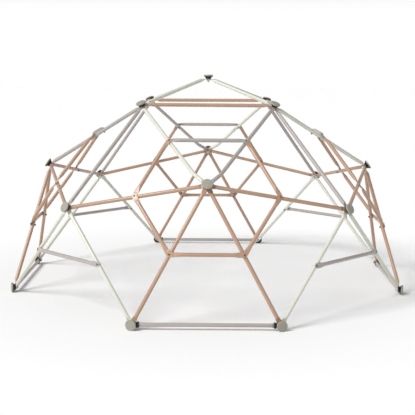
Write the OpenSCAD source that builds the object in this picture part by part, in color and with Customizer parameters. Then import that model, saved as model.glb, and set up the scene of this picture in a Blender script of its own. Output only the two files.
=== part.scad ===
// Dome climber: bent steel tubes bolted together at capped hubs, with shorter rungs across them.
// The ground is Z = 0, the origin is the middle of the footprint, and the front side faces -Y.
// The dome is the upper half of a truncated octahedron, with a raised hub in each of its faces.

/* [Dome] */
// Distance between the two hubs of a main bar
edge = 914.4; // [860:0.1:980]
// Height of the top hub above the sphere that all the other hubs lie on
crown_rise = 33; // [10:1:50]
// Height of the ground hubs' centres, a little less than the caps' radius
ground_hub_z = 34; // [33:0.25:34.5]
// Angle between a curved upper bar and the straight line at its side hub
curved_bar_swing = 10; // [6:0.5:12]
// Distance from the side hub to the bend of a curved upper bar
curved_bar_reach = 135; // [125:5:160]
// Place of the rung bolt on a curved upper bar, from its top end
upper_joint_at = 0.48; // [0.45:0.005:0.5]

/* [Tubes] */
// Outside diameter of every tube
tube_d = 25.4; // [24:0.1:27]
// Wall thickness of every tube
tube_wall = 1.2; // [1:0.1:1.5]
// Width of a tube where it is pressed flat
flat_w = 34; // [33:0.5:35]
// Length over which a main bar changes from flat to round
flare_length = 24; // [22:1:30]
// The same length on a rung
rung_flare_length = 46; // [40:1:50]
// Flat length between the bend and the start of the flare
flat_run = 6; // [4:1:8]
// Radius of the rounded tip of a flat end
tip_r = 17; // [15:0.5:17]
// Distance from the hub bolt to the bend of a main bar
hub_reach = 30; // [29:1:34]
// The same distance on the bars of the top square, which bulge more
top_reach = 44; // [36:1:48]
// Distance from the rung bolt to the bend of a rung
rung_reach = 22; // [20:1:26]
// Length of a rung's flat end past its bolt
rung_tip = 14; // [12:0.5:16]
// Drain hole near one end of every tube
drain_d = 5; // [3:0.5:6]

/* [Hubs] */
// Outside diameter of the round caps
cap_d = 70; // [69.5:0.5:74]
// Height of a cap from the lip to the crown of its face
cap_height = 11; // [10:0.5:12]
// Thickness of the cap's face
cap_face = 4; // [3:0.5:5]
// Rounding of the cap's outer edge
cap_edge_r = 3; // [2:0.5:3.5]
// Diameter of the hub body under the cap
body_d = 63; // [60:0.5:64]
// Diameter of the hub body where it sits on the bars
body_foot_d = 42; // [40:1:46]
// Height of the hub body
body_height = 26.5; // [25:0.5:28]
// Diameter of the washer on the inner side
washer_d = 26; // [24:1:30]
// Thickness of that washer
washer_t = 2; // [2:0.5:3]

/* [Fasteners] */
// Thread size of the hub bolts
hub_bolt_d = 10; // [8:1:10]
// Thread size of the rung bolts
rung_bolt_d = 8; // [6:1:8]
// Clearance of every bolt in its hole, across the diameter
bolt_play = 0.6; // [0.4:0.1:1]
// Head diameter of the rung bolts
rung_head_d = 12; // [11.5:0.5:14]
// Diameter of the domed nuts on the rung bolts
rung_nut_d = 15; // [14:0.5:17]

/* [Ground sleeves] */
// Length of the sleeve on each end of a ground bar
sleeve_length = 16; // [14:0.5:18]
// Height of the sleeve
sleeve_h = 38; // [37:0.5:40]
// Thickness of the sleeve
sleeve_t = 19; // [18.5:0.5:22]
// Distance from the hub bolt to the sleeve
sleeve_start = 25; // [24.5:0.5:26]
// Gap between the sleeve and the bar above it
sleeve_gap = 0.8; // [0.6:0.1:1.2]

/* [Hidden] */
$fn = 64;
flat_t = 2 * tube_wall;
// Two coats of powder paint between stacked flat ends
coat_gap = 0.12;
flat_pitch = flat_t + coat_gap;
tube_r = tube_d / 2;
sphere_r = edge * sqrt(2.5);
centre = [0, 0, ground_hub_z];
// Distance from a bend to where the tube is round, on a main bar and on a rung
main_flare_end = flat_run + flare_length;
rung_flare_end = flat_run + rung_flare_length;
// How far a wedge stands past the round tube, so that their surfaces cross and don't just touch
overshoot = 0.5;
// Half the length over which a flare and a tube run inside each other
lap = 3;
// How far the two flats at a bend run past each other
bend_lap = 0.6;
// Clear gap between a tube and the flat end on it, on straight bars and on curved ones
straight_seat = 0.25;
curved_seat = 0.8;
// How far the ball at a curved bar's knee stands past the tube
knee_swell = 0.3;
// Gap between a cap's skirt and the hub body, and between its lip's end and the body's shoulder
skirt_gap = 0.5;
lip_gap = 0.3;
// Height of the straight foot of the hub body
body_foot_h = 3;
// Rise of the cap's face from its rounded edge to the middle
cap_dome_h = 1.5;
// Height of the stub that centres a cap in the body's pocket, and the gap round it
stub_h = 3;
stub_gap = 0.4;
// Radius and depth of that pocket, which also holds the bolt's head
pocket_r = 13;
pocket_floor = 9;
// Hub bolt head and domed hub nut
bolt_head_h = 6.4;
bolt_head_r = 9.8;
nut_r = 9.8;
nut_h = 8;
nut_dome_h = 6;
// Play of a bolt's plain shank in a nut, on the radius
thread_play = 0.05;
// Height of the domed nuts on the rung bolts, and of the plain skirt below their dome
rung_nut_h = 9;
rung_nut_skirt = 3;
// Thickness of the dome over the end of a rung bolt's thread
rung_nut_roof = 2;
// Rim and dome of a rung bolt's head
rung_rim_h = 2;
rung_dome_h = 2.5;

// Hub places on the front side and on its right-hand corner; the rest are these turned or mirrored
crown_hub = [0, 0, ground_hub_z + sphere_r + crown_rise];
top_hub = [edge / 2, -edge / 2, ground_hub_z + edge * sqrt(2)];
side_hub = centre + sphere_r * unit([0, -1, sqrt(0.5)]);
corner_hub = [edge, -edge, ground_hub_z + edge * sqrt(0.5)];
foot_hub = [edge / 2, -1.5 * edge, ground_hub_z];

// How many flat ends are stacked at each kind of hub
CROWN_STACK = 4;
TOP_STACK = 6;
SIDE_STACK = 6;
CORNER_STACK = 5;
FOOT_STACK = 3;

// --- Vectors ---

function unit(v) = v / norm(v);
// The part of v that lies in the plane whose unit normal is n
function in_plane(v, n) = v - (v * n) * n;
// Straight out from the middle of the dome, through p
function outward(p) = unit(p - centre);
// The same point on the other half of the front side
function mirrored(p) = [-p.x, p.y, p.z];
// The same point on another side, k quarter turns on
function turned(p, k) = [cos(90 * k) * p.x - sin(90 * k) * p.y, sin(90 * k) * p.x + cos(90 * k) * p.y, p.z];
// Middle of the flat end that is number `level` of `count` in a hub's stack, from the inside
function stacked(p, level, count) = p + outward(p) * flat_pitch * (level - (count - 1) / 2);
// Middle of the flat end that lies over a tube at p, above `level` others
function seated(p, level, gap) = p + outward(p) * (tube_r + gap + flat_pitch * (level + 0.5));
// Where a bar that is bolted at p and runs towards q bends off the hub's tangent plane
function bend_point(p, q, reach) = p + reach * unit(in_plane(q - p, outward(p)));

module at(p) {
    n = outward(p);
    translate(p)
        rotate([0, acos(n.z), atan2(n.y, n.x)])
            children();
}

// Sets children with their X, Y and Z along the unit vectors x, y and z
module framed(origin, x, y, z) {
    multmatrix([
        [x.x, y.x, z.x, origin.x],
        [x.y, y.y, z.y, origin.y],
        [x.z, y.z, z.z, origin.z],
        [0, 0, 0, 1]
    ])
        children();
}

// --- Bars ---

// Top view of a flat end, with the bolt at the origin and the bend at X = reach
module flat_outline(reach, tip) {
    translate([tip_r - tip, 0])
        circle(r = tip_r);
    polygon([
        [tip_r - tip, overshoot - tip_r], [reach + bend_lap, -flat_w / 2],
        [reach + bend_lap, flat_w / 2], [tip_r - tip, tip_r - overshoot]
    ]);
}

// Wedge with its X along the tube, from a flat half as thick as `half` to one half as thick as `full`
module flare_wedge(start, half, full, flare_end) {
    rotate([90, 0, 0])
        linear_extrude(height = 2 * flat_w, center = true)
            polygon([
                [start, half], [max(start, flat_run), half],
                [flare_end - lap, full], [flare_end + 2 * lap, full],
                [flare_end + 2 * lap, -full], [flare_end - lap, -full],
                [max(start, flat_run), -half], [start, -half]
            ]);
}

// Cone that narrows from the flat's width to the tube, and crosses the tube's surface at flare_end
module flare_cone(inset, flare_end) {
    slope = (flat_w / 2 - tube_r) / flare_end;
    start = -2 * bend_lap;
    translate([start, 0, 0])
        rotate([0, 90, 0])
            rotate([0, 0, 90])
                cylinder(
                    h = flare_end + lap - start,
                    r1 = flat_w / 2 - slope * start - inset, r2 = tube_r - slope * lap - inset
                );
}

// Pressed end of a bar, with the bend at the origin and the tube along +X
module pressed_end(bend, reach, tip, flare_end = main_flare_end) {
    rotate([0, -bend, 0])
        translate([-reach, 0, -flat_t / 2])
            linear_extrude(height = flat_t)
                flat_outline(reach, tip);
    intersection() {
        flare_wedge(-bend_lap, flat_t / 2, tube_r + overshoot, flare_end);
        flare_cone(0, flare_end);
    }
}

// The space inside a pressed end
module pressed_inside(flare_end = main_flare_end) {
    intersection() {
        flare_wedge(flat_run + 1, 0.2, tube_r - tube_wall + overshoot, flare_end);
        flare_cone(tube_wall, flare_end);
    }
}

// Straight round stretch along X, from x1 to x2
module tube(x1, x2, r) {
    translate([x1, 0, 0])
        rotate([0, 90, 0])
            rotate([0, 0, 90])
                cylinder(h = x2 - x1, r = r);
}

// Draws children with b1 at the origin, b2 on +X, and +Z away from the middle of the dome
module between(b1, b2) {
    axis = unit(b2 - b1);
    out = unit(in_plane(outward(b1), axis));
    framed(b1, axis, cross(out, axis), out)
        children();
}

// Angle between the flat end, from its bolt at p to its bend at b, and the tube that goes on to q
function bend_angle(p, b, q) = acos(unit(b - p) * unit(q - b));

// Round hole through a bar at p, pointing at the middle of the dome
module bolt_hole(p, d) {
    at(p)
        cylinder(h = 3 * tube_d, d = d + bolt_play, center = true);
}

// Small hole in the inner side of a tube that runs from b towards q
module drain_hole(b, q) {
    at(b + 2 * rung_flare_end * unit(q - b))
        translate([0, 0, -tube_d])
            cylinder(h = tube_d, d = drain_d);
}

// A straight bar between the bolts at its two ends, with rung bolts through it at the points in joints
module bar(
    ends, joints = [], reach = hub_reach, tip = tip_r, bolt_d = hub_bolt_d, flare_end = main_flare_end
) {
    b1 = bend_point(ends[0], ends[1], reach);
    b2 = bend_point(ends[1], ends[0], reach);
    run = norm(b2 - b1);
    difference() {
        between(b1, b2) {
            pressed_end(bend_angle(ends[0], b1, b2), reach, tip, flare_end);
            tube(flare_end - lap / 2, run - flare_end + lap / 2, tube_r);
            translate([run, 0, 0])
                mirror([1, 0, 0])
                    pressed_end(bend_angle(ends[1], b2, b1), reach, tip, flare_end);
        }
        between(b1, b2) {
            pressed_inside(flare_end);
            tube(flare_end - lap / 2, run - flare_end + lap / 2, tube_r - tube_wall);
            translate([run, 0, 0])
                mirror([1, 0, 0])
                    pressed_inside(flare_end);
        }
        for (p = ends) bolt_hole(p, bolt_d);
        for (p = joints) bolt_hole(p, rung_bolt_d);
        drain_hole(b1, b2);
    }
}

// --- The curved upper bars, from a side hub to a top hub ---

straight_length = norm(top_hub - side_hub);
side_up = unit(in_plane([0, 0, 1], outward(side_hub)));
swing_angle = 60 - curved_bar_swing;
// Direction in which the right-hand one leaves the side hub, and the one in which it leaves its plane
leave = [cos(swing_angle), 0, 0] + sin(swing_angle) * side_up;
dip_angle = asin(straight_length / 2 / sphere_r);
dip = cos(dip_angle) * leave - sin(dip_angle) * outward(side_hub);

// Bends, knee and rung bolt of a curved bar, by its levels in the side hub's and the top hub's stack
function side_bend(side_level) = stacked(side_hub, side_level, SIDE_STACK) + hub_reach * leave;
function knee_point(side_level) = side_bend(side_level) + (curved_bar_reach - hub_reach) * dip;
function top_bend(side_level, top_level) =
    bend_point(stacked(top_hub, top_level, TOP_STACK), knee_point(side_level), hub_reach);
function upper_joint(side_level, top_level) =
    let (bend = top_bend(side_level, top_level))
    bend + (upper_joint_at * straight_length - hub_reach) * unit(knee_point(side_level) - bend);

// One straight stretch of a curved bar, from its bolt at p and its bend at b to its knee
module curved_bar_part(p, b, knee) {
    between(b, knee) {
        pressed_end(bend_angle(p, b, knee), hub_reach, tip_r);
        tube(main_flare_end - lap / 2, norm(knee - b), tube_r);
    }
}

module curved_bar_part_inside(b, knee) {
    between(b, knee) {
        pressed_inside();
        tube(main_flare_end - lap / 2, norm(knee - b), tube_r - tube_wall);
    }
}

// A curved bar on the right of the front side; a ball rounds its knee
module curved_bar(side_level, top_level) {
    side_end = stacked(side_hub, side_level, SIDE_STACK);
    top_end = stacked(top_hub, top_level, TOP_STACK);
    b1 = side_bend(side_level);
    b2 = top_bend(side_level, top_level);
    knee = knee_point(side_level);
    difference() {
        union() {
            curved_bar_part(side_end, b1, knee);
            curved_bar_part(top_end, b2, knee);
            translate(knee)
                sphere(r = tube_r + knee_swell);
        }
        union() {
            curved_bar_part_inside(b1, knee);
            curved_bar_part_inside(b2, knee);
            translate(knee)
                sphere(r = tube_r - tube_wall + knee_swell);
        }
        for (p = [side_end, top_end]) bolt_hole(p, hub_bolt_d);
        bolt_hole(upper_joint(side_level, top_level), rung_bolt_d);
        drain_hole(b2, knee);
    }
}

// --- Bars that carry rungs, on the front side and its right-hand corner, each as its two bolts ---

RIGHT_SIDE_BAR = [stacked(side_hub, 2, SIDE_STACK), stacked(corner_hub, 3, CORNER_STACK)];
LEFT_SIDE_BAR = [stacked(side_hub, 3, SIDE_STACK), stacked(mirrored(corner_hub), 2, CORNER_STACK)];
RIGHT_LOWER_BAR = [stacked(side_hub, 0, SIDE_STACK), stacked(foot_hub, 2, FOOT_STACK)];
LEFT_LOWER_BAR = [stacked(side_hub, 1, SIDE_STACK), stacked(mirrored(foot_hub), 2, FOOT_STACK)];
FRONT_LEG = [stacked(corner_hub, 1, CORNER_STACK), stacked(foot_hub, 1, FOOT_STACK)];
RIGHT_LEG = [stacked(corner_hub, 0, CORNER_STACK), stacked(turned(mirrored(foot_hub), 1), 1, FOOT_STACK)];

// Middle of a main bar's tube, where a rung is bolted over it
function middle(ends) =
    (bend_point(ends[0], ends[1], hub_reach) + bend_point(ends[1], ends[0], hub_reach)) / 2;

// Levels of the grey and the cream curved bar in the side hub's and the top hub's stack
GREY_LEVELS = [4, 1];
CREAM_LEVELS = [5, 2];

// The rungs' bolt places going round the side hub, starting at the upper left
RING = [
    mirrored(upper_joint(CREAM_LEVELS[0], CREAM_LEVELS[1])), upper_joint(GREY_LEVELS[0], GREY_LEVELS[1]),
    middle(RIGHT_SIDE_BAR), middle(RIGHT_LOWER_BAR), middle(LEFT_LOWER_BAR), middle(LEFT_SIDE_BAR)
];
RING_GAP = [curved_seat, curved_seat, straight_seat, straight_seat, straight_seat, straight_seat];

// The rung from bolt place i of the ring to the next one; it lies under that one's own rung
module ring_rung(i) {
    j = (i + 1) % len(RING);
    bar(
        [seated(RING[i], 0, RING_GAP[i]), seated(RING[j], 1, RING_GAP[j])],
        reach = rung_reach, tip = rung_tip, bolt_d = rung_bolt_d, flare_end = rung_flare_end
    );
}

// --- Bars of one side or one corner ---

module top_bar(k) {
    color("#cda084")
        rotate([0, 0, 90 * k])
            bar(
                [stacked(mirrored(top_hub), 4, TOP_STACK), stacked(top_hub, 3, TOP_STACK)],
                reach = top_reach
            );
}

module crown_bar(k) {
    color("#dededa")
        bar(
            [stacked(crown_hub, k, CROWN_STACK), stacked(turned(top_hub, k), 5, TOP_STACK)],
            reach = top_reach
        );
}

module corner_bar(k) {
    color("#b6afaa")
        rotate([0, 0, 90 * k])
            bar([stacked(top_hub, 0, TOP_STACK), stacked(corner_hub, 4, CORNER_STACK)]);
}

module ground_bar(k) {
    color("#b6afaa")
        rotate([0, 0, 90 * k])
            bar([stacked(mirrored(foot_hub), 0, FOOT_STACK), stacked(foot_hub, 0, FOOT_STACK)]);
}

module curved_bar_cream(k) {
    color("#dededa")
        rotate([0, 0, 90 * k])
            mirror([1, 0, 0])
                curved_bar(CREAM_LEVELS[0], CREAM_LEVELS[1]);
}

module curved_bar_grey(k) {
    color("#b6afaa")
        rotate([0, 0, 90 * k])
            curved_bar(GREY_LEVELS[0], GREY_LEVELS[1]);
}

module side_bars(k) {
    color("#cda084")
        rotate([0, 0, 90 * k])
            for (ends = [RIGHT_SIDE_BAR, LEFT_SIDE_BAR]) bar(ends, joints = [middle(ends)]);
}

module lower_bars(k) {
    color("#cda084")
        rotate([0, 0, 90 * k])
            for (ends = [RIGHT_LOWER_BAR, LEFT_LOWER_BAR]) bar(ends, joints = [middle(ends)]);
}

module corner_legs(k) {
    color("#dededa")
        rotate([0, 0, 90 * k])
            for (ends = [FRONT_LEG, RIGHT_LEG]) bar(ends, joints = [middle(ends)]);
}

module ring_rungs(k) {
    color("#cda084")
        rotate([0, 0, 90 * k])
            for (i = [1:5]) ring_rung(i);
}

module top_rung(k) {
    color("#b6afaa")
        rotate([0, 0, 90 * k])
            ring_rung(0);
}

module corner_rung(k) {
    color("#b6afaa")
        rotate([0, 0, 90 * k])
            bar(
                [for (leg = [FRONT_LEG, RIGHT_LEG]) seated(middle(leg), 0, straight_seat)],
                reach = rung_reach, tip = rung_tip, bolt_d = rung_bolt_d, flare_end = rung_flare_end
            );
}

// --- Hubs ---

QUARTERS = [0:3];
UPPER_HUBS = [
    [crown_hub, CROWN_STACK],
    for (k = QUARTERS) each [
        [turned(top_hub, k), TOP_STACK],
        [turned(side_hub, k), SIDE_STACK],
        [turned(corner_hub, k), CORNER_STACK]
    ]
];
FOOT_HUBS = [
    for (k = QUARTERS) each [
        [turned(foot_hub, k), FOOT_STACK],
        [turned(mirrored(foot_hub), k), FOOT_STACK]
    ]
];
HUBS = concat(UPPER_HUBS, FOOT_HUBS);
cap_lip = body_height - (cap_height - cap_face) + lip_gap;

// Children drawn on the outer face of each hub's stack
module on_stack(hubs) {
    for (h = hubs)
        at(h[0])
            translate([0, 0, h[1] * flat_pitch / 2])
                children();
}

// Children drawn on the inner face of each hub's stack, pointing inwards
module under_stack(hubs) {
    for (h = hubs)
        at(h[0])
            translate([0, 0, -h[1] * flat_pitch / 2])
                mirror([0, 0, 1])
                    children();
}

// Lid with a rounded edge and a slightly domed face, a skirt round the body and a stub in its pocket
module cap() {
    r = cap_d / 2;
    inner_r = body_d / 2 + skirt_gap;
    stub_r = pocket_r - stub_gap;
    ceiling = cap_height - cap_face;
    shoulder = cap_height - cap_dome_h - cap_edge_r;
    translate([0, 0, cap_lip])
        rotate_extrude()
            polygon(concat(
                [[inner_r, 0], [r, 0]],
                [for (a = [0:15:90]) [r - cap_edge_r + cap_edge_r * cos(a), shoulder + cap_edge_r * sin(a)]],
                [[r * 0.6, cap_height - cap_dome_h / 3], [0, cap_height]],
                [[0, ceiling - stub_h], [stub_r, ceiling - stub_h], [stub_r, ceiling], [inner_r, ceiling]]
            ));
}

module hub_caps() {
    color("#b2b0a4")
        on_stack(UPPER_HUBS)
            cap();
}

// The ground hubs' caps are flat where they stand on the ground
module foot_caps() {
    color("#b2b0a4")
        difference() {
            on_stack(FOOT_HUBS)
                cap();
            translate([-2 * edge, -2 * edge, -edge])
                cube([4 * edge, 4 * edge, edge]);
        }
}

// Dished body that spreads the bolt's load over the flat ends and holds the cap
module hub_body() {
    bolt_r = (hub_bolt_d + bolt_play) / 2;
    rotate_extrude()
        polygon([
            [bolt_r, 0], [body_foot_d / 2, 0], [body_foot_d / 2, body_foot_h],
            [body_d / 2, body_height * 0.6], [body_d / 2, body_height],
            [pocket_r, body_height], [pocket_r, pocket_floor], [bolt_r, pocket_floor]
        ]);
}

module hub_bodies() {
    color("#282420")
        on_stack(HUBS)
            hub_body();
}

module hub_washer() {
    bolt_r = (hub_bolt_d + bolt_play) / 2;
    rotate_extrude()
        polygon([
            [bolt_r, 0], [washer_d / 2 - 0.5, 0], [washer_d / 2, 0.5],
            [washer_d / 2 - 3, washer_t], [bolt_r, washer_t]
        ]);
}

module hub_washers() {
    color("#a8a8a4")
        under_stack(HUBS)
            hub_washer();
}

// Hexagon bolt from the body's pocket down to inside the domed nut
module hub_bolt(stack) {
    translate([0, 0, pocket_floor])
        cylinder(h = bolt_head_h, r = bolt_head_r, $fn = 6);
    foot = stack * flat_pitch + washer_t + nut_h;
    translate([0, 0, -foot])
        cylinder(h = foot + pocket_floor + 1, d = hub_bolt_d);
}

module hub_bolts() {
    color("#8c8c88")
        for (h = HUBS)
            at(h[0])
                translate([0, 0, h[1] * flat_pitch / 2])
                    hub_bolt(h[1]);
}

// Domed nut with a blind thread
module hub_nut() {
    bore_r = hub_bolt_d / 2 + thread_play;
    difference() {
        cylinder(h = nut_h, r = nut_r, $fn = 6);
        translate([0, 0, -1])
            cylinder(h = nut_h + 2, r = bore_r);
    }
    translate([0, 0, nut_h])
        rotate_extrude()
            polygon([
                [0, 1], [bore_r, 1], [bore_r, 0], [nut_r * 0.84, 0],
                [nut_r * 0.7, nut_dome_h * 0.6], [nut_r * 0.4, nut_dome_h * 0.95], [0, nut_dome_h]
            ]);
}

module hub_nuts() {
    color("#a8a8a4")
        under_stack(HUBS)
            translate([0, 0, washer_t])
                hub_nut();
}

// --- Rung fasteners ---

// Each bolt place with the gap under the lowest flat end and the number of flat ends on it
RUNG_JOINTS = [
    for (k = QUARTERS) each [
        for (i = [0:5]) [turned(RING[i], k), RING_GAP[i], 2],
        for (leg = [FRONT_LEG, RIGHT_LEG]) [turned(middle(leg), k), straight_seat, 1]
    ]
];

// Round-headed bolt through the flat ends, the tube and the nut
module rung_bolt(stack, gap) {
    top = tube_r + gap + stack * flat_pitch;
    translate([0, 0, top])
        cylinder(h = rung_rim_h, d = rung_head_d);
    translate([0, 0, top + rung_rim_h])
        cylinder(h = rung_dome_h, d1 = rung_head_d, d2 = rung_head_d * 0.55);
    foot = tube_r + straight_seat + rung_nut_h - rung_nut_roof - overshoot;
    translate([0, 0, -foot])
        cylinder(h = foot + top + rung_rim_h / 2, d = rung_bolt_d);
}

module rung_bolts() {
    color("#3c3a36")
        for (j = RUNG_JOINTS)
            at(j[0])
                rung_bolt(j[2], j[1]);
}

// Round domed nut with a blind thread
module rung_nut() {
    r = rung_nut_d / 2;
    bore_r = rung_bolt_d / 2 + thread_play;
    rotate_extrude()
        polygon(concat(
            [[0, rung_nut_h - rung_nut_roof], [bore_r, rung_nut_h - rung_nut_roof], [bore_r, 0], [r, 0]],
            [for (a = [0:15:75]) [r * cos(a), rung_nut_skirt + (rung_nut_h - rung_nut_skirt) * sin(a)]],
            [[0, rung_nut_h]]
        ));
}

module rung_nuts() {
    color("#282420")
        for (j = RUNG_JOINTS)
            at(j[0])
                translate([0, 0, -tube_r - straight_seat])
                    mirror([0, 0, 1])
                        rung_nut();
}

// --- Ground sleeves ---

// Side view of the sleeve along the bar, with the hub bolt at the origin and up to the right of +X. Its
// upper corner is cut along the edge of the bar that leaves the same hub at 60 degrees.
module sleeve_outline() {
    end = sleeve_start + sleeve_length;
    // Distance along the ground bar to that edge, at the given height
    function edge_at(y) = (flat_w / 2 + sleeve_gap + y * cos(60)) / sin(60);
    polygon([
        [sleeve_start, -sleeve_h / 2], [end, -sleeve_h / 2], [end, sleeve_h / 2],
        [edge_at(sleeve_h / 2), sleeve_h / 2],
        [sleeve_start, (sleeve_start * sin(60) - flat_w / 2 - sleeve_gap) / cos(60)]
    ]);
}

// Block round the bend of the ground bar, next to the right-hand foot hub of the front side
module ground_sleeve() {
    p = stacked(foot_hub, 0, FOOT_STACK);
    q = stacked(mirrored(foot_hub), 0, FOOT_STACK);
    b1 = bend_point(p, q, hub_reach);
    b2 = bend_point(q, p, hub_reach);
    between(b1, b2)
        difference() {
            translate([-hub_reach, 0, 0])
                mirror([0, 1, 0])
                    linear_extrude(height = sleeve_t, center = true)
                        sleeve_outline();
            pressed_end(bend_angle(p, b1, b2), hub_reach, tip_r);
        }
}

module ground_sleeves() {
    color("#282420")
        for (k = QUARTERS)
            rotate([0, 0, 90 * k]) {
                ground_sleeve();
                mirror([1, 0, 0])
                    ground_sleeve();
            }
}

top_bar(0);  // top_bar_front
top_bar(1);  // top_bar_right
top_bar(2);  // top_bar_back
top_bar(3);  // top_bar_left
crown_bar(0);  // crown_bar_front_right
crown_bar(1);  // crown_bar_back_right
crown_bar(2);  // crown_bar_back_left
crown_bar(3);  // crown_bar_front_left
corner_bar(0);  // corner_bar_front_right
corner_bar(1);  // corner_bar_back_right
corner_bar(2);  // corner_bar_back_left
corner_bar(3);  // corner_bar_front_left
ground_bar(0);  // ground_bar_front
ground_bar(1);  // ground_bar_right
ground_bar(2);  // ground_bar_back
ground_bar(3);  // ground_bar_left
curved_bar_cream(0);  // curved_bar_cream_front
curved_bar_cream(1);  // curved_bar_cream_right
curved_bar_cream(2);  // curved_bar_cream_back
curved_bar_cream(3);  // curved_bar_cream_left
curved_bar_grey(0);  // curved_bar_grey_front
curved_bar_grey(1);  // curved_bar_grey_right
curved_bar_grey(2);  // curved_bar_grey_back
curved_bar_grey(3);  // curved_bar_grey_left
side_bars(0);  // side_bars_front
side_bars(1);  // side_bars_right
side_bars(2);  // side_bars_back
side_bars(3);  // side_bars_left
lower_bars(0);  // lower_bars_front
lower_bars(1);  // lower_bars_right
lower_bars(2);  // lower_bars_back
lower_bars(3);  // lower_bars_left
corner_legs(0);  // corner_legs_front_right
corner_legs(1);  // corner_legs_back_right
corner_legs(2);  // corner_legs_back_left
corner_legs(3);  // corner_legs_front_left
ring_rungs(0);  // ring_rungs_front
ring_rungs(1);  // ring_rungs_right
ring_rungs(2);  // ring_rungs_back
ring_rungs(3);  // ring_rungs_left
top_rung(0);  // top_rung_front
top_rung(1);  // top_rung_right
top_rung(2);  // top_rung_back
top_rung(3);  // top_rung_left
corner_rung(0);  // corner_rung_front_right
corner_rung(1);  // corner_rung_back_right
corner_rung(2);  // corner_rung_back_left
corner_rung(3);  // corner_rung_front_left
hub_caps();
foot_caps();
hub_bodies();
hub_washers();
hub_bolts();
hub_nuts();
rung_bolts();
rung_nuts();
ground_sleeves();
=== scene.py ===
import math

import bpy
import numpy as np
from mathutils import Matrix


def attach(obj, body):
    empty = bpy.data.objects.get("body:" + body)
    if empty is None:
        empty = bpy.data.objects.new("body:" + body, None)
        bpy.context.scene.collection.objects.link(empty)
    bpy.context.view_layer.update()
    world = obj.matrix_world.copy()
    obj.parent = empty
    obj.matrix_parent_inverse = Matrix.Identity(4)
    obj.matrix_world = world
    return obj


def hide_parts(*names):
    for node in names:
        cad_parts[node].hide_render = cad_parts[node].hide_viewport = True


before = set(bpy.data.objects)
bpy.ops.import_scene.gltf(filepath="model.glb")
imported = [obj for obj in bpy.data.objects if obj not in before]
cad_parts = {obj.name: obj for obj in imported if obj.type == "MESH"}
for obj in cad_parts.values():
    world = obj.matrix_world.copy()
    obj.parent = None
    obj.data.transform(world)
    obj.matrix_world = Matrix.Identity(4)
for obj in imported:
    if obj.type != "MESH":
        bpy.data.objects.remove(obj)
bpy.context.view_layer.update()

# --- Driving sizes of the climber, in metres, as the frame has them ---

EDGE = 0.9144
CROWN_RISE = 0.033
GROUND_HUB_Z = 0.034
SPHERE_R = EDGE * math.sqrt(2.5)
CENTRE = np.array([0.0, 0.0, GROUND_HUB_Z])
SWING = math.radians(10)
KNEE_REACH = 0.135
KNEE_R = 0.15
UPPER_JOINT_AT = 0.48

TUBE_R = 0.0127
WALL = 0.0012
FLAT_T = 2 * WALL
FLAT_PITCH = FLAT_T + 0.00012
FLAT_HALF_W = 0.017
MAIN_FLARE = 0.024
RUNG_FLARE = 0.046
FLAT_RUN = 0.006
TIP_R = 0.017
HUB_REACH = 0.030
TOP_REACH = 0.044
RUNG_REACH = 0.022
RUNG_TIP = 0.014
BEND_R = 0.007
BAR_SIDES = 32
# Gap between a tube and the flat end on it, on straight bars and on curved ones
STRAIGHT_SEAT = 0.00025
CURVED_SEAT = 0.0008

CAP_R = 0.035
CAP_H = 0.011
CAP_FACE = 0.004
CAP_EDGE_R = 0.003
CAP_DOME_H = 0.0015
SKIRT_GAP = 0.0005
LIP_GAP = 0.0003
STUB_R = 0.0126
STUB_H = 0.003
BODY_R = 0.0315
BODY_FOOT_R = 0.021
BODY_FOOT_H = 0.003
BODY_H = 0.0265
POCKET_R = 0.013
POCKET_FLOOR = 0.009
# Height of a cap's lip above the stack
CAP_LIP = BODY_H - (CAP_H - CAP_FACE) + LIP_GAP
WASHER_R = 0.013
WASHER_T = 0.002
HUB_BOLT_R = 0.005
HUB_NUT_R = 0.0098
HUB_NUT_H = 0.008
RUNG_BOLT_R = 0.004
BOLT_PLAY = 0.0003
RUNG_HEAD_R = 0.006
RUNG_NUT_R = 0.0075
RUNG_NUT_H = 0.009
NUT_ROOF = 0.003
SLEEVE_START = 0.025
SLEEVE_END = 0.041
SLEEVE_HALF_H = 0.019
SLEEVE_HALF_T = 0.0095
SLEEVE_GAP = 0.0008

# How many flat ends are stacked at each kind of hub
STACK = {"crown": 4, "top": 6, "side": 6, "corner": 5, "foot": 3}
SIDES = ["front", "right", "back", "left"]
CORNERS = ["front_right", "back_right", "back_left", "front_left"]


# --- Vectors and places ---

def unit(v):
    """v at length one."""
    return v / np.linalg.norm(v)


def in_plane(v, n):
    """The part of v that lies in the plane whose unit normal is n."""
    return v - (v @ n) * n


def outward(p):
    """Straight out from the middle of the dome, through p."""
    return unit(p - CENTRE)


def mirrored(p):
    """p on the other half of the front side: X changes its sign."""
    return p * np.array([-1.0, 1.0, 1.0])


def quarter_turns(k):
    """Rotation matrix of k quarter turns about Z."""
    c, s = round(math.cos(k * math.pi / 2)), round(math.sin(k * math.pi / 2))
    return np.array([[c, -s, 0], [s, c, 0], [0, 0, 1]], float)


def turned(p, k):
    """p, k sides on."""
    return quarter_turns(k) @ p


def stacked(p, level, kind):
    """Middle of the flat end that is number level, from the inside, in the stack of a hub of that kind."""
    return p + outward(p) * FLAT_PITCH * (level - (STACK[kind] - 1) / 2)


def seated(p, level, gap):
    """Middle of the flat end that lies over a tube at p, above level others."""
    return p + outward(p) * (TUBE_R + gap + FLAT_PITCH * (level + 0.5))


def bend_point(p, q, reach):
    """Where a bar that is bolted at p and runs towards q bends off p's tangent plane."""
    return p + reach * unit(in_plane(q - p, outward(p)))


def bar_middle(p1, p2):
    """Middle of the straight tube of a main bar from p1 to p2."""
    return (bend_point(p1, p2, HUB_REACH) + bend_point(p2, p1, HUB_REACH)) / 2


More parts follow.
